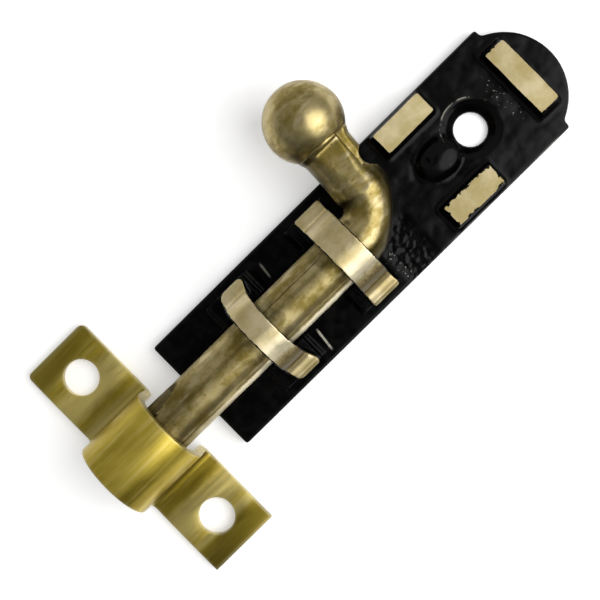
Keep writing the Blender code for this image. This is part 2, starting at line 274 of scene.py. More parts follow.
def castBrass(name, shine=1.0, drawnLinesAndShadeBands=(), dullness=0.0, stretch=0.55, paintedShade=None):
    # mottled old brass of the rod, handle and knob; the lines give y places of lengthwise drawn marks and painted
    # shade bands, which come with a painted highlight strip down the +Y side, and the shade mask paints shade
    fin = Finish(name)
    drawn = fin.stretched((stretch, 1, 1))
    cloud = fin.ramp(fin.noise(drawn, 240, 6, 0.66), 0.38, 0.62)
    fine = fin.noise(drawn, 1700, 4, 0.6)
    deep = [v * shine for v in brass["deep"]]
    mid = [v * shine for v in brass["mid"]]
    tone = fin.blend(cloud, deep, mid)
    pale = fin.ramp(fin.noise(fin.stretched((0.3, 1, 1), (0.02, 0, 0)), 600, 5, 0.6), 0.50, 0.74)
    tone = fin.blend(fin.math("MULTIPLY", pale, 0.75), tone, [v * shine for v in brass["bright"]])
    x, y, z = fin.axes()
    wander = fin.ramp(fin.noise(fin.stretched((1, 0, 0)), 90, 3, 0.6), 0.2, 0.8, -0.2 * mm, 0.2 * mm, False)
    marksAndShadeBands = None
    for place, width, dark, ends in drawnLinesAndShadeBands:
        gap = fin.math("ABSOLUTE", fin.math("SUBTRACT", fin.math("ADD", y, wander), place))
        line = fin.ramp(gap, width, width * 0.3, 0.0, dark)
        faded = fin.math("MULTIPLY", line, fin.ramp(fin.noise(fin.stretched((1, 1, 1), (0, place * 9, 0)), 260, 3, 0.5), 0.22, 0.5))
        if ends:
            inside = fin.math("MULTIPLY", fin.ramp(x, ends[0], ends[0] + 1.5 * mm), fin.ramp(x, ends[1], ends[1] - 1.5 * mm))
            faded = fin.math("MULTIPLY", faded, inside)
        marksAndShadeBands = faded if marksAndShadeBands is None else fin.math("MAXIMUM", marksAndShadeBands, faded)
    if marksAndShadeBands is not None:
        # darken the drawn marks and the painted shade bands
        tone = fin.blend(marksAndShadeBands, tone, (0.055, 0.038, 0.006))
        # painted highlight: a pale strip down the +Y side of the rod, weaker towards the keeper
        ragged = fin.ramp(fine, 0.2, 0.8, -0.15 * mm, 0.15 * mm, False)
        paintedHighlight = fin.ramp(fin.math("ADD", y, ragged), 3.45 * mm, 3.65 * mm)
        strength = fin.ramp(x, 30 * mm, 36 * mm, 0.75, 0.4)
        tone = fin.blend(fin.math("MULTIPLY", paintedHighlight, strength), tone, brass["paintedHighlight"])
    # painted shade where the shade mask is one
    if paintedShade:
        tone = fin.blend(paintedShade(fin), tone, brass["paintedShade"])
    pits = fin.ramp(fin.noise(drawn, 2600, 2, 0.5), 0.31, 0.22)
    tone = fin.blend(fin.math("MULTIPLY", pits, 0.8), tone, (0.08, 0.055, 0.012))
    rough = fin.ramp(
        fin.math("ADD", fin.math("MULTIPLY", cloud, -0.4), fine), 0.0, 0.7, 0.22 + dullness, 0.37 + dullness, False
    )
    lumps = fin.bump(fin.noise(drawn, 350, 3, 0.5), 0.08 * mm, 0.5)
    grain = fin.bump(fine, 0.02 * mm, 0.5, lumps)
    holes = fin.bump(fin.math("MULTIPLY", pits, -1.0), 0.03 * mm, 0.7, grain)
    fin.set(Base_Color=tone, Roughness=rough, Metallic=1.0, Normal=holes)
    return fin.look


def lacquerAndBrass(name, bareMask, scratchScale, brownMask=None, chipAndHighlightMask=None, highlightMask=None):
    # gloss black lacquer, worn through to linished brass where the mask is one
    fin = Finish(name)
    bare = bareMask(fin)
    streak = fin.noise(fin.stretched(scratchScale), 900, 4, 0.6)
    cloud = fin.noise(fin.coords, 260, 4, 0.6)
    tone = fin.blend(fin.ramp(cloud, 0.35, 0.7), brass["mid"], brass["bright"])
    tone = fin.blend(fin.ramp(streak, 0.58, 0.75, 0.0, 0.35), tone, (0.42, 0.32, 0.13))
    # painted highlight: pale tone on the brass where the highlight mask is one
    if highlightMask:
        tone = fin.blend(highlightMask(fin), tone, brass["paintedHighlight"])
    if brownMask:
        tone = fin.blend(brownMask(fin), tone, brass["brown"])
    # pale chips and painted highlights in the black coat
    coat = fin.blend(chipAndHighlightMask(fin), brass["lacquer"], brass["chip"]) if chipAndHighlightMask else brass["lacquer"]
    colour = fin.blend(bare, coat, tone)
    peel = fin.noise(fin.coords, 480, 3, 0.5)
    blackRough = fin.ramp(peel, 0.3, 0.7, 0.15, 0.28)
    brassRough = fin.ramp(streak, 0.3, 0.7, 0.36, 0.47)
    rough = fin.node("Mix", {0: bare, 2: blackRough, 3: brassRough}).outputs[0]
    film = fin.math("SUBTRACT", 1.0, bare)
    soft = fin.bump(fin.math("MULTIPLY", peel, film), 0.05 * mm, 0.35)
    lines = fin.bump(streak, 0.010 * mm, 0.35, soft)
    edge = fin.bump(film, 0.04 * mm, 0.8, lines)
    fin.set(Base_Color=colour, Roughness=rough, Metallic=bare, Normal=edge)
    fin.shader.inputs["Specular IOR Level"].default_value = 0.12
    return fin.look


def guideBrown(fin):
    # a dark brown band down the steep +Y side of the arch and onto its foot, faint on the −Y side
    x, y, z = fin.axes()
    ragged = fin.ramp(fin.noise(fin.stretched((1.0, 0.5, 0.5)), 1500, 4, 0.7), 0.2, 0.8, -0.45 * mm, 0.45 * mm, False)
    place = fin.math("ADD", y, ragged)
    right = fin.math("MULTIPLY", fin.ramp(place, 3.9 * mm, 5.4 * mm), fin.ramp(y, 7.5 * mm, 6.1 * mm))
    left = fin.math("MULTIPLY", fin.ramp(y, -3.0 * mm, -4.4 * mm), fin.ramp(y, -7.2 * mm, -5.8 * mm))
    foot = fin.ramp(y, 7.2 * mm, 8.2 * mm, 0.0, 0.35)
    right = fin.math("MAXIMUM", fin.math("MULTIPLY", right, 0.95), foot)
    return fin.math("ADD", right, fin.math("MULTIPLY", left, 0.2))


def guidePaintedHighlight(fin):
    # painted highlight on the crest beside it, nearly white, on the +Y side only
    x, y, z = fin.axes()
    ragged = fin.ramp(fin.noise(fin.stretched((1.0, 0.5, 0.5)), 1500, 4, 0.7), 0.2, 0.8, -0.4 * mm, 0.4 * mm, False)
    there = fin.math("ADD", y, ragged)
    return fin.math("MULTIPLY", fin.ramp(y, 1.0 * mm, 2.6 * mm), fin.ramp(there, 4.7 * mm, 4.0 * mm, 0.0, 0.6))


def lugBrown(fin):
    # the right and rear lugs are duller than the left one
    x, y, z = fin.axes()
    right = fin.ramp(y, -2 * mm, 6 * mm, 0.0, 0.3)
    return fin.math("MAXIMUM", right, fin.ramp(x, -25 * mm, -29 * mm, 0.0, 0.27))


def plateMask(fin):
    # bare brass only on the ground tops of the lugs, with chipped edges
    x, y, z = fin.axes()
    chips = fin.noise(fin.coords, 1100, 4, 0.65)
    tops = fin.ramp(z, plate["lugTop"] - 0.09 * mm, plate["lugTop"] - 0.05 * mm)
    mask = None
    lugs = (
        ((*plate["sideLugX"], *plate["leftLugY"]), 0.16 * mm),
        ((*plate["sideLugX"], *plate["rightLugY"]), 0.55 * mm),
        ((plate["rearLug"][0][0], plate["rearLug"][1][0], plate["rearLug"][0][1], plate["rearLug"][1][1]), 0.2 * mm),
    )
    for (x0, x1, y0, y1), chip in lugs:
        fromX = fin.math("SUBTRACT", (x1 - x0) / 2, fin.math("ABSOLUTE", fin.math("SUBTRACT", x, (x0 + x1) / 2)))
        fromY = fin.math("SUBTRACT", (y1 - y0) / 2, fin.math("ABSOLUTE", fin.math("SUBTRACT", y, (y0 + y1) / 2)))
        edge = fin.math("SMOOTH_MIN", fromX, fromY, 0.9 * mm)
        bite = fin.ramp(chips, 0.42, 0.62, 0.0, chip)
        clear = fin.ramp(fin.math("SUBTRACT", edge, bite), -0.24 * mm, -0.19 * mm)
        mask = clear if mask is None else fin.math("MAXIMUM", mask, clear)
    return fin.math("MULTIPLY", mask, tops)


def plateChipsAndHighlights(fin):
    # pale chips and dust in the lacquer beside the rear guide and in front of the rear lug; painted highlights along
    # the right edge, on the −Y side of the countersink rim and along a thin line behind the front guide
    x, y, z = fin.axes()
    breaks = fin.noise(fin.coords, 420, 4, 0.6)
    fineBreaks = fin.noise(fin.coords, 1900, 3, 0.6)
    # painted highlight along the right edge
    edge = fin.math("MULTIPLY", fin.ramp(y, 10.22 * mm, 10.36 * mm), fin.ramp(x, -5 * mm, -8 * mm))
    edge = fin.math("MULTIPLY", edge, fin.math("MULTIPLY", fin.ramp(z, 1.8 * mm, 2.0 * mm), fin.ramp(breaks, 0.44, 0.56, 0.0, 0.45)))
    # painted highlight on an arc of the countersink rim, −Y side
    fromHole = fin.math("SUBTRACT", x, plate["rearScrewX"])
    reach = fin.math("SQRT", fin.math("ADD", fin.math("MULTIPLY", fromHole, fromHole), fin.math("MULTIPLY", y, y)))
    ring = fin.math("SUBTRACT", 1.0, fin.ramp(fin.math("ABSOLUTE", fin.math("SUBTRACT", reach, 4.85 * mm)), 0.03 * mm, 0.17 * mm))
    ring = fin.math("MULTIPLY", ring, fin.math("MULTIPLY", fin.ramp(y, -1.2 * mm, -3.0 * mm), fin.ramp(breaks, 0.46, 0.58, 0.0, 0.6)))
    patch = fin.math("MULTIPLY", fin.ramp(fin.math("ABSOLUTE", fin.math("SUBTRACT", x, 1.9 * mm)), 1.6 * mm, 0.5 * mm), fin.ramp(y, 4.0 * mm, 6.0 * mm))
    lugFront = fin.math("MULTIPLY", fin.ramp(fin.math("ABSOLUTE", fin.math("SUBTRACT", x, -27.6 * mm)), 1.3 * mm, 0.4 * mm), fin.ramp(fin.math("ABSOLUTE", y), 5.0 * mm, 3.0 * mm))
    dust = fin.math("MULTIPLY", fin.math("MAXIMUM", patch, lugFront), fin.ramp(fineBreaks, 0.63, 0.68, 0.0, 0.9))
    # painted highlight along the foot line behind the front guide
    start = fin.ramp(y, -1 * mm, 1 * mm, 17.8 * mm, 17.1 * mm)
    slant = fin.math("SUBTRACT", x, fin.math("MULTIPLY_ADD", y, 0.115, start))
    footHighlight = fin.ramp(fin.math("ABSOLUTE", slant), 0.24 * mm, 0.1 * mm)
    right = fin.ramp(fin.math("ABSOLUTE", fin.math("SUBTRACT", y, 7.3 * mm)), 2.2 * mm, 1.2 * mm)
    left = fin.ramp(fin.math("ABSOLUTE", fin.math("ADD", y, 6.8 * mm)), 1.6 * mm, 0.8 * mm, 0.0, 0.4)
    footHighlight = fin.math("MULTIPLY", footHighlight, fin.math("MAXIMUM", right, left))
    footHighlight = fin.math("MULTIPLY", footHighlight, fin.ramp(fineBreaks, 0.3, 0.45, 0.2, 1.0))
    return fin.math("MAXIMUM", fin.math("MAXIMUM", fin.math("MAXIMUM", edge, ring), dust), footHighlight)


def guideMask(middle, half, footHalf, lean, bow):
    # brass on the outer face of the strap, inside its two long edges
    def mask(fin):
        x, y, z = fin.axes()
        inset = 0.16 * mm
        out = fin.math("DIVIDE", fin.math("ABSOLUTE", y), guideShape["brassEnd"])
        drop = fin.math("POWER", out, 3.0)
        width = fin.math("MULTIPLY_ADD", drop, footHalf - half, half - inset)
        centre = fin.math("MULTIPLY_ADD", drop, -lean, middle)
        height = guideShape["topZ"] - guideShape["footZ"]
        down = fin.math("DIVIDE", fin.math("SUBTRACT", guideShape["topZ"], z), height)
        centre = fin.math("MULTIPLY_ADD", down, bow, centre)
        wander = fin.ramp(fin.noise(fin.coords, 900, 4, 0.65), 0.25, 0.75, -0.09 * mm, 0.13 * mm, False)
        away = fin.math("ABSOLUTE", fin.math("SUBTRACT", x, centre))
        inside = fin.math("SUBTRACT", width, fin.math("ADD", away, wander))
        onTop = fin.ramp(inside, -0.02 * mm, 0.02 * mm)
        above = fin.math("SUBTRACT", z, 8.3 * mm)
        reach = fin.math("SQRT", fin.math("ADD", fin.math("MULTIPLY", y, y), fin.math("MULTIPLY", above, above)))
        outer = fin.ramp(reach, 5.85 * mm, 5.95 * mm)
        high = fin.ramp(fin.math("ADD", z, wander), 4.7 * mm, 4.8 * mm)
        return fin.math("MULTIPLY", fin.math("MULTIPLY", onTop, outer), high)
    return mask


def sheetBrass(keeperBox):
    # satin yellow brass of the keeper, brushed along the rod, dull at the ends of the ears
    fin = Finish("sheetBrass")
    x, y, z = fin.axes()
    brushed = fin.stretched((0.06, 1, 1))
    streak = fin.noise(brushed, 1500, 5, 0.65)
    bands = fin.noise(fin.stretched((0.05, 1, 0.6)), 330, 3, 0.5)
    cloud = fin.noise(fin.stretched((0.5, 1, 1)), 190, 4, 0.55)
    body = fin.math("ADD", fin.math("MULTIPLY", bands, 0.5), fin.math("MULTIPLY", cloud, 0.5))
    tone = fin.blend(fin.ramp(body, 0.36, 0.60), brass["sheetDeep"], brass["sheetMid"])
    tone = fin.blend(fin.ramp(bands, 0.52, 0.72, 0.0, 0.55), tone, brass["sheetBright"])
    tone = fin.blend(fin.ramp(streak, 0.54, 0.76, 0.0, 0.35), tone, brass["sheetBright"])
    side = fin.math("ABSOLUTE", y)
    out = fin.math("ADD", side, fin.ramp(cloud, 0.3, 0.7, -1.4 * mm, 1.4 * mm, False))
    ends = fin.ramp(out, 15.2 * mm, 18.6 * mm)
    # painted shade in the bends where the ears turn up into the arch
    bendShade = fin.math("MULTIPLY", fin.ramp(out, 6.2 * mm, 7.4 * mm), fin.ramp(out, 10.6 * mm, 8.8 * mm))
    endTone = fin.math("MULTIPLY", ends, fin.ramp(y, -10 * mm, 10 * mm, 0.65, 0.85))
    tone = fin.blend(fin.math("MAXIMUM", endTone, fin.math("MULTIPLY", bendShade, 0.45)), tone, (0.12, 0.088, 0.004))
    polished = fin.math("MULTIPLY", fin.ramp(side, 9.5 * mm, 11.5 * mm), fin.ramp(side, 16.6 * mm, 13.5 * mm))
    tone = fin.blend(fin.math("MULTIPLY", polished, 0.4), tone, brass["sheetBright"])
    # pale rims along the long edges, the ends and the screw holes: worn brass, and painted highlight on the rolled
    # edges
    middle = (keeperBox[0].x + keeperBox[1].x) / 2
    half = (keeperBox[1].x - keeperBox[0].x) / 2
    across = fin.math("ABSOLUTE", fin.math("SUBTRACT", x, middle))
    ragged = fin.ramp(streak, 0.3, 0.7, -0.12 * mm, 0.12 * mm, False)
    longEdge = fin.ramp(fin.math("ADD", across, ragged), half - 0.34 * mm, half - 0.18 * mm)
    endEdge = fin.ramp(fin.math("ADD", side, ragged), keeperBox[1].y - 0.42 * mm, keeperBox[1].y - 0.2 * mm)
    holeY = fin.math("SUBTRACT", side, keeper["holeY"])
    reach = fin.math("SQRT", fin.math("ADD", fin.math("MULTIPLY", holeY, holeY), fin.math("MULTIPLY", across, across)))
    ring = fin.ramp(fin.math("ADD", reach, ragged), keeper["holeRadius"] + 0.34 * mm, keeper["holeRadius"] + 0.16 * mm)
    rimWearAndHighlight = fin.math("MAXIMUM", fin.math("MAXIMUM", longEdge, endEdge), ring)
    tone = fin.blend(fin.math("MULTIPLY", rimWearAndHighlight, 0.2), tone, (0.80, 0.72, 0.38))
    rough = fin.ramp(streak, 0.3, 0.7, 0.33, 0.45)
    lines = fin.bump(streak, 0.006 * mm, 0.4)
    waves = fin.bump(cloud, 0.06 * mm, 0.5, lines)
    fin.set(Base_Color=tone, Roughness=rough, Metallic=1.0, Normal=waves)
    fin.set(Coat_Weight=0.25, Coat_Roughness=0.3, Coat_IOR=1.5)
    return fin.look


# the base plate
plate = {
    "thick": 2.2 * mm,
    "archRadius": 10.0 * mm,
    "shoulderX": -32.1 * mm,
    "lugTop": 4.6 * mm,
    "sideLugX": (-18.65 * mm, -9.15 * mm),
    "leftLugY": (-9.7 * mm, -5.95 * mm),
    "rightLugY": (5.75 * mm, 9.45 * mm),
    "rearLug": ((-33.5 * mm, -6.2 * mm), (-29.75 * mm, 5.75 * mm)),
    "rearScrewX": -21.1 * mm,
    "frontScrewX": 33.2 * mm,
    "screwRadius": 2.65 * mm,
    "sinkRadius": 4.7 * mm,
    "voxel": 0.24 * mm,
}


def lugBlock(name, low, high):
    # a lug cast a little too tall, wider at the foot, ready to be ground flat
    spec = plate
    flare = 1.3
    lug = addBox(name, (*low, 0.5 * mm), (*high, spec["lugTop"] + 0.7 * mm))
    selectPart(lug, "FACE", lambda c, n: n.z < -0.9)
    bpy.ops.transform.resize(value=(1 + 0.10 * flare, 1 + 0.22 * flare, 1))
    editDone()
    return lug


def makePlate():
    spec = plate
    low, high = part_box("base_plate")
    body = addBox("basePlateCasting", (spec["shoulderX"], low.y, 0), (high.x, high.y, spec["thick"]))
    arch = addRound(
        "arch", spec["archRadius"], spec["thick"],
        (low.x + spec["archRadius"], 0, spec["thick"] / 2), sides=128,
    )
    combine(body, arch, "UNION")
    hollow = addBall("hollow", (24 * mm, 12 * mm, 6 * mm), (-16 * mm, 0, spec["thick"] + 5.7 * mm), 64, 32)
    combine(body, hollow, "DIFFERENCE")
    parts = []
    for side, edges in (("left", spec["leftLugY"]), ("right", spec["rightLugY"])):
        xs = spec["sideLugX"]
        parts.append(lugBlock(side + "Lug", (xs[0], edges[0]), (xs[1], edges[1])))
    parts.append(lugBlock("rearLug", *spec["rearLug"]))
    boss = addBall("boss", (4.3 * mm, 3.4 * mm, 2.2 * mm), (-14.2 * mm, -0.2 * mm, spec["thick"] - 0.75 * mm))
    dimple = addBox("dimple", (-12.9 * mm, -1.9 * mm, 3.0 * mm), (-11.7 * mm, -0.6 * mm, 5 * mm))
    combine(boss, dimple, "DIFFERENCE")
    selectPart(boss, "FACE", lambda c, n: True)
    bpy.ops.mesh.bisect(plane_co=(0, 0, 0.8 * mm), plane_no=(0, 0, -1), use_fill=True, clear_outer=True)
    editDone()
    parts.append(boss)
    joinTo(body, parts)
    meltTogether(body, spec["voxel"], 1)
    for along, sink in ((spec["rearScrewX"], spec["sinkRadius"]), (spec["frontScrewX"], 4.4 * mm)):
        cone = addRound(
            "sink", spec["screwRadius"] - 0.1 * mm, 1.9 * mm,
            (along, 0, spec["thick"] - 0.75 * mm), top=sink, sides=96,
        )
        combine(body, cone, "DIFFERENCE")
        hole = addRound("hole", spec["screwRadius"], 8 * mm, (along, 0, 0), sides=96)
        combine(body, hole, "DIFFERENCE")
    meltTogether(body, spec["voxel"], 5)

    def topOnly(co):
        return stepTo(co.z, 1.6 * mm, 2.0 * mm) * (0.1 + 0.9 * stepTo(-co.x, -3 * mm, 4 * mm))

    def patch(co):
        lengthwise = stepTo(co.x, -5 * mm, -2.5 * mm) * (1 - stepTo(co.x, 1 * mm, 2.6 * mm))
        return lengthwise * stepTo(co.y, 1.0 * mm, 3.0 * mm) * stepTo(co.z, 1.6 * mm, 2.0 * mm)

    roughen(body, "castWaves", 4.6 * mm, 0.20 * mm, topOnly)
    roughen(body, "castPatch", 0.75 * mm, 0.45 * mm, patch)
    selectPart(body, "FACE", lambda c, n: True)
    bpy.ops.mesh.bisect(
        plane_co=(0, 0, spec["lugTop"]), plane_no=(0, 0, 1), use_fill=True, clear_outer=True
    )
    editDone()
    for along in (23.2 * mm, 6.15 * mm):
        for side in (-1, 1):
            slot = addBox(
                "slot", (along - 1.5 * mm, side * 7.7 * mm - 1.1 * mm, -1 * mm),
                (along + 1.5 * mm, side * 7.7 * mm + 1.1 * mm, 4 * mm),
            )
            combine(body, slot, "DIFFERENCE")
    outward(body)
    shadeSoft(body, 50)
    selectPart(body, "FACE", lambda c, n: n.z > 0.999 and c.z > spec["lugTop"] - 0.01 * mm)
    bpy.ops.mesh.faces_shade_flat()
    editDone()
    body.data.materials.clear()
    body.data.materials.append(lacquerAndBrass("plateLacquer", plateMask, (1, 0.15, 1), lugBrown, plateChipsAndHighlights))
    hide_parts("base_plate")
    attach(body, "base")
    return body


def bendStrap(name, path, thick, along, widths):
    # a bar section drawn along a path in the YZ plane: y, z and heading at each stop
    deselectAll()
    bpy.ops.mesh.primitive_plane_add(
        size=1, rotation=(math.pi / 2, 0, 0), location=(along[0], path[0][0], path[0][1])
    )
    strap = bpy.context.object
    strap.scale = (widths[0], thick, 1)
    place(strap, name)
    selectPart(strap, "FACE", lambda c, n: True)
    for i in range(1, len(path)):
        before, point = path[i - 1], path[i]
        step = (along[i] - along[i - 1], point[0] - before[0], point[1] - before[1])
        bpy.ops.mesh.extrude_region_move(TRANSFORM_OT_translate={"value": step})
        centre = (along[i], point[0], point[1])
        bpy.ops.transform.rotate(
            value=before[2] - point[2], orient_axis="X", center_override=centre
        )
        grow = widths[i] / widths[i - 1]
        bpy.ops.transform.resize(value=(grow, 1, 1), center_override=centre)
    editDone()
    outward(strap)
    return strap


# the two guide straps
guides = {
    "front_guide": {"middle": 23.15 * mm, "top": 4.1 * mm, "foot": 5.1 * mm, "lean": 1.4 * mm, "bow": 0.65 * mm, "round": 1.25 * mm},
    "rear_guide": {"middle": 6.15 * mm, "top": 5.0 * mm, "foot": 5.4 * mm, "lean": 0.0, "bow": 0.0, "round": 0.6 * mm},
}
guideShape = {
    "axisZ": 8.3 * mm,
    "topZ": 14.7 * mm,
    "thick": 1.75 * mm,
    "bend": 2.7 * mm,
    "footZ": 5.55 * mm,
    "brassEnd": 8.75 * mm,
    "footHalf": 8.9 * mm,
    "baseZ": 2.5 * mm,
    "voxel": 0.15 * mm,
}


def guidePath():
    # left foot, turned up into the arch, as centre line stops; the right half mirrors it
    shape = guideShape
    radius = shape["topZ"] - shape["axisZ"] - shape["thick"] / 2
    footZ = shape["footZ"] - shape["thick"] / 2
    turnY = -radius - shape["bend"]
    path = []
    for back, sink, heading in ((0, 0.30, 0.35), (0.06, 0.28, 0.33), (0.18, 0.24, 0.3), (0.34, 0.18, 0.25)):
        path.append((back * mm - shape["brassEnd"], footZ - sink * mm, heading))
    path.append((turnY, footZ, 0.12))
    for i in range(1, 16):
        turn = max(math.pi / 2 * i / 16, 0.12)
        path.append((
            turnY + shape["bend"] * math.sin(turn),
            footZ + shape["bend"] * (1 - math.cos(turn)), turn,
        ))
    path.append((-radius, shape["axisZ"] - 0.2 * mm, math.pi / 2))
    for i in range(1, 17):
        turn = math.pi / 2 * i / 16
        path.append((-radius * math.cos(turn), shape["axisZ"] + radius * math.sin(turn), math.pi / 2 - turn))
    return path + [(-y, z, -turn) for y, z, turn in reversed(path[:-1])]


def makeGuide(node):
    spec, shape = guides[node], guideShape
    low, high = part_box(node)
    middle, half = spec["middle"], spec["top"] / 2
    path = guidePath()
    drops = [(abs(y) / shape["brassEnd"]) ** 3 for y, z, turn in path]
    widths = []
    for (y, z, turn), drop in zip(path, drops):
        into = between(abs(y), shape["brassEnd"] - spec["round"], shape["brassEnd"])
        rounded = 2 * spec["round"] * (1 - math.sqrt(max(0.0, 1 - into * into)))
        widths.append(spec["top"] + (spec["foot"] - spec["top"]) * drop - rounded)
    along = []
    for (y, z, turn), drop in zip(path, drops):
        down = (shape["topZ"] - z) / (shape["topZ"] - shape["footZ"])
        along.append(middle - spec["lean"] * drop + spec["bow"] * down)
    strap = bendStrap(node + "Strap", path, shape["thick"], along, widths)

    blocks = []
    footX = middle - spec["lean"] + spec["bow"]
    for side in (-1, 1):
        ends = sorted((side * (rod["radius"] + 0.3 * mm), side * shape["footHalf"]))
        base = addBox(
            "footBlock", (footX - spec["foot"] * 0.45, ends[0], shape["baseZ"]),
            (footX + spec["foot"] * 0.45, ends[1], shape["footZ"] - 1.2 * mm),
        )
        selectPart(base, "FACE", lambda c, n: n.z < -0.9)
        bpy.ops.transform.resize(value=(1.15, 1, 1))
        editDone()
        flange = addBox(
            "flange", (low.x, ends[0], shape["baseZ"]), (high.x, ends[1], shape["baseZ"] + 0.85 * mm)
        )
        selectPart(flange, "FACE", lambda c, n: n.z > 0.9)
        bpy.ops.transform.resize(value=(0.8, 1, 1))
        editDone()
        tenon = addBox(
            "tenon", (middle - 1.2 * mm, side * 7.7 * mm - 0.8 * mm, 0),
            (middle + 1.2 * mm, side * 7.7 * mm + 0.8 * mm, shape["baseZ"] + 1 * mm),
        )
        blocks += [base, flange, tenon]
    joinTo(strap, blocks)
    meltTogether(strap, shape["voxel"], 4)
    roughen(strap, node + "Waves", 2.2 * mm, 0.06 * mm)
    shadeSoft(strap, 50)
    strap.data.materials.clear()
    mask = guideMask(middle, half, spec["foot"] / 2, spec["lean"], spec["bow"])
    strap.data.materials.append(lacquerAndBrass(node + "Finish", mask, (0.12, 1, 1), guideBrown, highlightMask=guidePaintedHighlight))
    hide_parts(node)
    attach(strap, "base")
    return strap


def sweep(name, sides, stations):
    # a circle drawn out ring by ring: each station is a centre, a heading and a half size
    first = stations[0]
    deselectAll()
    bpy.ops.mesh.primitive_circle_add(
        vertices=sides, radius=1, fill_type="NGON", location=first["at"],
        rotation=(0, 0, 0),
    )
    obj = bpy.context.object
    obj.name = name
    aim = Vector((0, 0, 1)).rotation_difference(Vector(first["way"]))
    obj.rotation_mode = "QUATERNION"
    obj.rotation_quaternion = aim
    obj.scale = (first["size"], first["size"], 1)
    place(obj, name)
    selectPart(obj, "FACE", lambda c, n: True)
    before = first
    for station in stations[1:]:
        step = Vector(station["at"]) - Vector(before["at"])
        bpy.ops.mesh.extrude_region_move(TRANSFORM_OT_translate={"value": step})
        turnBy = Vector(before["way"]).cross(Vector(station["way"])).z
        if abs(turnBy) > 1e-6:
            bpy.ops.transform.rotate(
                value=-math.asin(turnBy), orient_axis="Z", center_override=station["at"]
            )
        grow = station["size"] / before["size"]
        bpy.ops.transform.resize(value=(grow, grow, grow), center_override=station["at"])
        before = station
    editDone()
    outward(obj)
    return obj


# the rod
rod = {
    "axisZ": 8.3 * mm,
    "radius": 4.25 * mm,
    "chamfer": 0.7 * mm,
    "flatStart": 38.2 * mm,
    "flatDepth": 1.25 * mm,
    "flatAngle": 62,
    "rings": 64,
}


rodMarksAndShadeBands = (
    # y place, half width, darkness, and the x ends of each lengthwise mark: the first is a drawn mark between the
    # guides, the three full-length bands are painted shade across the round of the rod
    (-1.95 * mm, 0.15 * mm, 0.75, (9 * mm, 23 * mm)),
    (-0.75 * mm, 0.5 * mm, 0.40, None),
    (2.45 * mm, 0.7 * mm, 0.45, None),
    (3.3 * mm, 0.16 * mm, 0.6, None),
)


def rodFlat():
    # a point on the slanting flat near the tip, and the way it faces
    spec = rod
    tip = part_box("bolt_rod")[1].x
    lean = math.radians(spec["flatAngle"])
    slope = math.atan2(spec["flatDepth"], tip - spec["flatStart"])
    side = Vector((0, -math.sin(lean), math.cos(lean)))
    normal = (side * math.cos(slope) + Vector((math.sin(slope), 0, 0))).normalized()
    start = Vector((spec["flatStart"], 0, spec["axisZ"])) + side * spec["radius"]
    return start, normal


def makeRod():
    spec = rod
    low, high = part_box("bolt_rod")
    xs = [low.x + (high.x - spec["chamfer"] - low.x) * i / spec["rings"] for i in range(spec["rings"] + 1)]
    stations = [{"at": (x, 0, spec["axisZ"]), "way": (1, 0, 0), "size": spec["radius"]} for x in xs]
    for share in (0.3, 0.65, 0.9, 1.0):
        lean = math.asin(share)
        stations.append({
            "at": (high.x - spec["chamfer"] * (1 - share), 0, spec["axisZ"]), "way": (1, 0, 0),
            "size": spec["radius"] - spec["chamfer"] * (1 - math.cos(lean)),
        })
    shaft = sweep("boltRod", 96, stations)
    start, normal = rodFlat()
    selectPart(shaft, "FACE", lambda c, n: True)
    bpy.ops.mesh.bisect(plane_co=start, plane_no=normal, use_fill=True, clear_outer=True)
    bpy.ops.mesh.remove_doubles(threshold=0.03 * mm)
    editDone()

    def offTheFlat(co):
        return between((start - co).dot(normal), 0.002 * mm, 0.3 * mm)

    roughen(shaft, "rodWaves", 3.0 * mm, 0.16 * mm, offTheFlat)
    shadeSoft(shaft, 25)
    shaft.data.materials.clear()
    shaft.data.materials.append(looks["rodBrass"])
    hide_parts("bolt_rod")
    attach(shaft, "rod")
    return shaft


# the handle and its ball
handle = {
    "lift": 4,
    "bendCentre": (2.6 * mm, -4.75 * mm),
    "bendOuter": 7.85 * mm,
    "bendSpread": 1.1 * mm,
    "bendInner": 0.4 * mm,
    "waist": (-2.2 * mm, -8.3 * mm),
    "waistSize": 4.15 * mm,
    "neckSize": 4.2 * mm,
    "flareSize": 4.75 * mm,
    "topFlat": 3.6 * mm,
    "topSlope": -4,
    "underFlat": -3.6 * mm,
    "notch": (-6.95 * mm, -8.0 * mm),
    "ball": (-2.8 * mm, -18.1 * mm),
    "ballRadius": 6.3 * mm,
    "seat": 4.1 * mm,
    "voxel": 0.16 * mm,
}


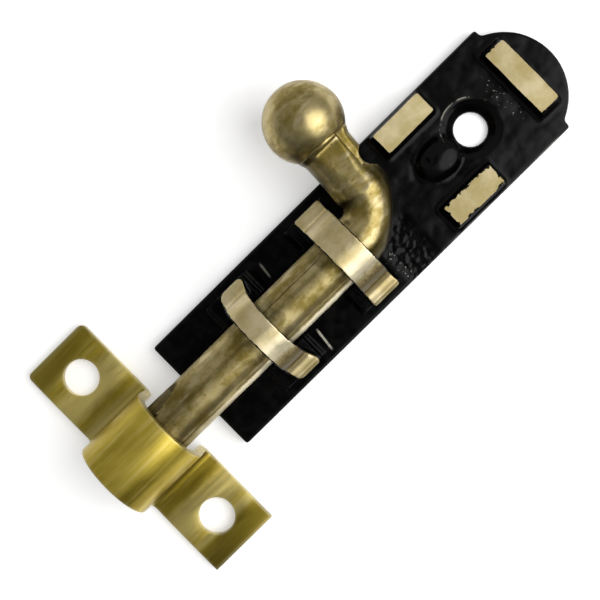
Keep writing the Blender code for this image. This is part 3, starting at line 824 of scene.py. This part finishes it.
def handleStations():
    spec = handle
    axisZ = rod["axisZ"]
    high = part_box("bolt_handle")[1]
    points = [
        (Vector((high.x, 0, axisZ)), rod["radius"]),
        (Vector((spec["bendCentre"][0] + 0.6 * mm, 0, axisZ)), rod["radius"]),
    ]
    pivot = Vector((*spec["bendCentre"], axisZ))
    for step in range(13):
        turn = 7.5 * step
        outer = spec["bendOuter"] + spec["bendSpread"] * ((turn - 43) / 45) ** 2
        away = Vector((-math.sin(math.radians(turn)), math.cos(math.radians(turn)), 0))
        points.append((pivot + away * (outer + spec["bendInner"]) / 2, (outer - spec["bendInner"]) / 2))
    waist = Vector((*spec["waist"], axisZ))
    ballAt = Vector((*spec["ball"], axisZ))
    way = (ballAt - waist).normalized()
    neck = ballAt - way * spec["seat"]
    shoulder, size = points[-1]
    for step in range(1, 5):
        part = step / 4
        points.append((shoulder.lerp(waist, part), size + (spec["waistSize"] - size) * part))
    for step in range(1, 11):
        part = step / 10
        flare = (spec["flareSize"] - spec["neckSize"]) * stepTo(part, 0.72, 1.0) ** 1.5
        grown = spec["waistSize"] + (spec["neckSize"] - spec["waistSize"]) * part + flare
        points.append((waist.lerp(neck, part), grown))
    stations = []
    for i, (at, size) in enumerate(points):
        ahead = points[min(i + 1, len(points) - 1)][0] - points[max(i - 1, 0)][0]
        heading = Vector((-1, 0, 0)) if i < 2 else ahead.normalized()
        stations.append({"at": at, "way": heading, "size": size})
    return stations, way, ballAt


def makeHandle():
    spec = handle
    axisZ = rod["axisZ"]
    stations, way, ballAt = handleStations()
    crank = sweep("boltHandle", 72, stations)
    meltTogether(crank, spec["voxel"], 1)
    top = addBox("topFlat", (-10 * mm, -13.3 * mm, axisZ + spec["topFlat"]), (2.5 * mm, -3 * mm, axisZ + 7 * mm))
    selectPart(top, "FACE", lambda c, n: n.z < -0.9)
    bpy.ops.transform.rotate(
        value=math.radians(spec["topSlope"]), orient_axis="X",
        center_override=(0, -13.3 * mm, axisZ + spec["topFlat"]),
    )
    editDone()
    combine(crank, top, "DIFFERENCE")
    under = addBox("underFlat", (-10 * mm, -16 * mm, 0), (3.6 * mm, 7 * mm, axisZ + spec["underFlat"]))
    combine(crank, under, "DIFFERENCE")
    notch = addRound("notch", 1.9 * mm, 14 * mm, (*spec["notch"], axisZ), sides=48)
    combine(crank, notch, "DIFFERENCE")
    # a worked ledge down the rear side of the stem, ending at the notch
    ledge = addBox("ledge", (-9.5 * mm, -14.2 * mm, axisZ + 2.55 * mm), (-4.75 * mm, -7.2 * mm, axisZ + 6 * mm))
    selectPart(ledge, "FACE", lambda c, n: n.x > 0.9)
    bpy.ops.transform.rotate(
        value=math.radians(4), orient_axis="Z", center_override=(-4.75 * mm, -14.2 * mm, axisZ)
    )
    editDone()
    combine(crank, ledge, "DIFFERENCE")
    # a long hollow down the front side, and a dent inside the bend
    hollow = addRound(
        "hollow", 1.5 * mm, 9 * mm, (2.35 * mm, -10.6 * mm, axisZ + 3.6 * mm),
        (math.radians(92), 0, math.radians(3)), sides=48,
    )
    combine(crank, hollow, "DIFFERENCE")
    dent = addBall("dent", (2.6 * mm, 3.6 * mm, 2.6 * mm), (1.7 * mm, -4.9 * mm, axisZ + 5.6 * mm), 48, 24)
    combine(crank, dent, "DIFFERENCE")
    meltTogether(crank, spec["voxel"], 13)
    roughen(crank, "stemWaves", 2.6 * mm, 0.08 * mm)

    ball = addBall("ballKnob", (spec["ballRadius"],) * 3, ballAt, 96, 56)
    roughen(ball, "ballWaves", 3.5 * mm, 0.10 * mm)
    # the ball stands on a flat seat, drawn in a little where it meets the stem
    seatAt = ballAt - way * spec["seat"]
    selectPart(ball, "FACE", lambda c, n: True)
    bpy.ops.mesh.bisect(plane_co=seatAt, plane_no=-way, use_fill=True, clear_outer=True)
    bpy.ops.mesh.remove_doubles(threshold=0.03 * mm)
    editDone()
    selectPart(ball, "FACE", lambda c, n: n.dot(-way) > 0.999 and (seatAt - c).length < 0.5 * mm)
    bpy.ops.mesh.extrude_region_move(TRANSFORM_OT_translate={"value": -way * 0.3 * mm})
    bpy.ops.transform.resize(value=(0.9, 0.9, 0.9), center_override=seatAt - way * 0.3 * mm)
    editDone()
    for piece, node, look in ((crank, "bolt_handle", "handleBrass"), (ball, "ball_knob", "knobBrass")):
        selectPart(piece, "FACE", lambda c, n: True)
        bpy.ops.transform.rotate(
            value=math.radians(spec["lift"]), orient_axis="X", center_override=(0, 0, axisZ)
        )
        editDone()
        shadeSoft(piece, 60)
        piece.data.materials.clear()
        piece.data.materials.append(looks[look])
        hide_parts(node)
        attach(piece, "handle")
    return crank, ball


# the keeper
keeper = {
    "thick": 1.3 * mm,
    "archRadius": 6.05 * mm,
    "archZ": 7.55 * mm,
    "bend": 1.9 * mm,
    "holeRadius": 2.9 * mm,
    "holeY": 15.2 * mm,
    "corner": 0.9 * mm,
    "crown": 0.16 * mm,
}


def makeKeeper():
    spec = keeper
    low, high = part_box("keeper")
    half = spec["thick"] / 2
    side = spec["archRadius"] + spec["bend"]
    path = []  # y, z and heading in the YZ plane, from the left ear to the arch top
    earSteps = 12
    tipY = low.y + 0.06 * mm
    half += 0.03 * mm
    for i in range(earSteps + 1):
        part = i / earSteps
        y = tipY + (-side - tipY) * part
        path.append((y, half + spec["crown"] * math.sin(math.pi * part), spec["crown"] * math.pi / (-side - low.y) * math.cos(math.pi * part)))
    for i in range(1, 9):
        turn = math.pi / 2 * i / 8
        path.append((-side + spec["bend"] * math.sin(turn), half + spec["bend"] * (1 - math.cos(turn)), turn))
    for i in range(0, 16):
        turn = math.pi / 2 * i / 15
        path.append((-spec["archRadius"] * math.cos(turn), spec["archZ"] + spec["archRadius"] * math.sin(turn), math.pi / 2 - turn))
    path += [(-y, z, -turn) for y, z, turn in reversed(path[:-1])]
    middle = (low.x + high.x) / 2
    count = len(path)
    return bendStrap("keeperStrap", path, spec["thick"], [middle] * count, [high.x - low.x] * count)


# floor, light and camera
studio = {
    "cameraAt": (9.52 * mm, 2.46 * mm, 183.3 * mm),
    "cameraTurn": (-1.028, 2.026, 135.387),
    "lens": 70,
    "floorTone": (0.97, 0.97, 0.97),
    "roomLow": 0.08,
    "roomHigh": 0.55,
    "keyLight": 2.7,  # brightness of the big panel
    "overLight": 0.3,
    "glintLight": 16,  # two small bright lamps that put glints on the lacquer
    "floorGlow": 0.32,
}


def softPanel(name, tilt, bearing, away, size, brightness):
    # an elliptical panel aimed at the origin: tilt off upright and bearing from +X, in degrees
    flat = math.sin(math.radians(tilt))
    turn = math.radians(bearing)
    at = away * Vector((flat * math.cos(turn), flat * math.sin(turn), math.cos(math.radians(tilt))))
    deselectAll()
    bpy.ops.object.light_add(type="AREA", location=at)
    lamp = bpy.context.object
    lamp.name = name
    lamp.data.shape = "ELLIPSE"
    lamp.data.size = size[0]
    lamp.data.size_y = size[1]
    lamp.data.energy = brightness * math.pi * size[0] * size[1] * math.pi / 4
    way = -at
    lamp.rotation_euler = way.to_track_quat("-Z", "Y").to_euler()
    return lamp


def makeStudio():
    deselectAll()
    bpy.ops.mesh.primitive_plane_add(size=4, location=(0, 0, -0.3 * mm))
    floor = place(bpy.context.object, "floor")
    fin = Finish("floorPaper")
    grain = fin.noise(fin.coords, 60, 3, 0.5)
    fin.set(
        Base_Color=fin.blend(grain, studio["floorTone"], (0.96, 0.96, 0.96)), Roughness=0.9,
    )
    fin.shader.inputs["Emission Color"].default_value = (1, 1, 1, 1)
    fin.shader.inputs["Emission Strength"].default_value = studio["floorGlow"]
    floor.data.materials.append(fin.look)
    world = bpy.data.worlds.new("softRoom")
    bpy.context.scene.world = world
    world.use_nodes = True
    tree = world.node_tree
    back = tree.nodes["Background"]
    back.inputs["Color"].default_value = (1, 1, 1, 1)
    way = tree.nodes.new("ShaderNodeTexCoord").outputs["Generated"]
    # the room is brighter overhead and on the handle side, and dim low down beyond the keeper
    lean = tree.nodes.new("ShaderNodeVectorMath")
    lean.operation = "DOT_PRODUCT"
    tree.links.new(way, lean.inputs[0])
    lean.inputs[1].default_value = Vector((-0.25, -0.55, 0.8)).normalized()
    shade = tree.nodes.new("ShaderNodeMapRange")
    tree.links.new(lean.outputs["Value"], shade.inputs["Value"])
    limits = (("From Min", -0.3), ("From Max", 0.9), ("To Min", studio["roomLow"]), ("To Max", studio["roomHigh"]))
    for key, value in limits:
        shade.inputs[key].default_value = value
    # a dark patch straight overhead, where the camera stands
    hood = tree.nodes.new("ShaderNodeMapRange")
    hood.interpolation_type = "SMOOTHSTEP"
    split = tree.nodes.new("ShaderNodeSeparateXYZ")
    tree.links.new(way, split.inputs[0])
    tree.links.new(split.outputs["Z"], hood.inputs["Value"])
    for key, value in (("From Min", 0.95), ("From Max", 0.985), ("To Min", 1.0), ("To Max", 0.12)):
        hood.inputs[key].default_value = value
    both = tree.nodes.new("ShaderNodeMath")
    both.operation = "MULTIPLY"
    tree.links.new(shade.outputs[0], both.inputs[0])
    tree.links.new(hood.outputs[0], both.inputs[1])
    tree.links.new(both.outputs[0], back.inputs["Strength"])
    softPanel("keyPanel", 39, 128, 0.75, (0.88, 0.88), studio["keyLight"])
    softPanel("overPanel", 14, 180, 0.8, (0.14, 0.3), studio["overLight"])
    for glintName, tilt, bearing in (("glintA", 38, 134), ("glintB", 52, 105)):
        softPanel(glintName, tilt, bearing, 0.7, (0.05, 0.05), studio["glintLight"])
    bpy.context.scene.view_settings.view_transform = "Standard"
    deselectAll()
    bpy.ops.object.camera_add(
        location=studio["cameraAt"], rotation=[math.radians(v) for v in studio["cameraTurn"]]
    )
    camera = bpy.context.object
    camera.name = "viewCamera"
    camera.data.lens = studio["lens"]
    camera.data.sensor_width = 36
    camera.data.clip_start = 0.005
    bpy.context.scene.camera = camera


def finishKeeper(strip):
    spec = keeper
    low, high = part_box("keeper")
    for sign in (-1, 1):
        hole = addRound("hole", spec["holeRadius"], 6 * mm, ((low.x + high.x) / 2, sign * spec["holeY"], 0), sides=96)
        combine(strip, hole, "DIFFERENCE")

    def earCorner(a, b):
        upright = abs(a.x - b.x) < 0.01 * mm and abs(a.z - b.z) > 0.5 * mm
        return upright and abs(a.y) > high.y - 0.1 * mm and abs(b.y) > high.y - 0.1 * mm

    selectPart(strip, "EDGE", earCorner)
    bpy.ops.mesh.bevel(offset=spec["corner"], segments=6, affect="EDGES")
    editDone()
    roll = strip.modifiers.new("roll", "BEVEL")
    roll.width = 0.22 * mm
    roll.segments = 3
    roll.limit_method = "ANGLE"
    roll.angle_limit = math.radians(50)
    applyModifiers(strip)
    shadeSoft(strip, 35)
    strip.data.materials.clear()
    strip.data.materials.append(sheetBrass(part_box("keeper")))
    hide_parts("keeper")
    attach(strip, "keeper")


def rodPaintedShade(fin):
    # painted shade on the slanting flat and on the rod leading in under the keeper, and painted shadow beside the
    # guides
    start, normal = rodFlat()
    x, y, z = fin.axes()
    along = fin.node("VectorMath", {0: fin.coords, 1: normal}, operation="DOT_PRODUCT").outputs["Value"]
    # painted shade on the slanting flat
    flat = fin.ramp(fin.math("SUBTRACT", along, start.dot(normal)), -0.03 * mm, -0.01 * mm, 0.0, 0.75)
    patches = fin.noise(fin.coords, 420, 4, 0.6)
    uneven = fin.ramp(patches, 0.3, 0.7, -1.6 * mm, 1.6 * mm, False)
    # painted shade growing towards the keeper
    tip = fin.ramp(fin.math("ADD", x, uneven), 33 * mm, 43 * mm, 0.0, 0.35)
    paintedShade = fin.math("MAXIMUM", flat, tip)
    # painted shadow on the rod at each guide edge
    for at in (26.3 * mm, 9.5 * mm, 20.4 * mm):
        near = fin.math("ABSOLUTE", fin.math("SUBTRACT", fin.math("ADD", x, uneven), at))
        paintedShade = fin.math("MAXIMUM", paintedShade, fin.ramp(near, 1.8 * mm, 0.2 * mm, 0.0, 0.4))
    return paintedShade


def handlePaintedShade(fin):
    # painted shade round the outside of the bend and down the front side of the stem
    x, y, z = fin.axes()
    acrossX = fin.math("SUBTRACT", x, handle["bendCentre"][0])
    acrossY = fin.math("SUBTRACT", y, handle["bendCentre"][1])
    squares = fin.math("ADD", fin.math("MULTIPLY", acrossX, acrossX), fin.math("MULTIPLY", acrossY, acrossY))
    reach = fin.math("SQRT", squares)
    bend = fin.math("MULTIPLY", fin.ramp(reach, 6.3 * mm, 7.4 * mm), fin.ramp(y, -8 * mm, -5.5 * mm, 0.0, 0.88))
    stem = fin.math("MULTIPLY", fin.ramp(x, -0.4 * mm, 1.5 * mm), fin.ramp(y, -7.5 * mm, -9.5 * mm, 0.0, 0.8))
    return fin.math("MAXIMUM", bend, stem)


def knobPaintedShade(fin):
    # painted shade on the ball's +Y, lower side, deepening outwards
    way = Vector((-0.25, 0.93, -0.25)).normalized()
    centre = Vector((*handle["ball"], rod["axisZ"])) + Vector((0, 0, -1.26 * mm))
    toward = fin.node("VectorMath", {0: fin.coords, 1: way}, operation="DOT_PRODUCT").outputs["Value"]
    out = fin.math("SUBTRACT", toward, centre.dot(way))
    ragged = fin.ramp(fin.noise(fin.coords, 380, 4, 0.6), 0.3, 0.7, -0.8 * mm, 0.8 * mm, False)
    return fin.ramp(fin.math("ADD", out, ragged), 1.8 * mm, 4.8 * mm, 0.0, 0.93)


looks = {
    "rodBrass": castBrass("rodBrass", 0.80, rodMarksAndShadeBands, 0.15, 0.8, rodPaintedShade),
    "handleBrass": castBrass("handleBrass", 0.84, dullness=0.06, paintedShade=handlePaintedShade),
    "knobBrass": castBrass("knobBrass", 0.86, dullness=0.09, paintedShade=knobPaintedShade),
}
makeStudio()
print("studio ready")
makePlate()
print("plate cast")
for guideNode in guides:
    makeGuide(guideNode)
print("guides cast")
makeRod()
print("rod turned")
makeHandle()
print("handle and ball made")
finishKeeper(makeKeeper())
print("keeper bent")
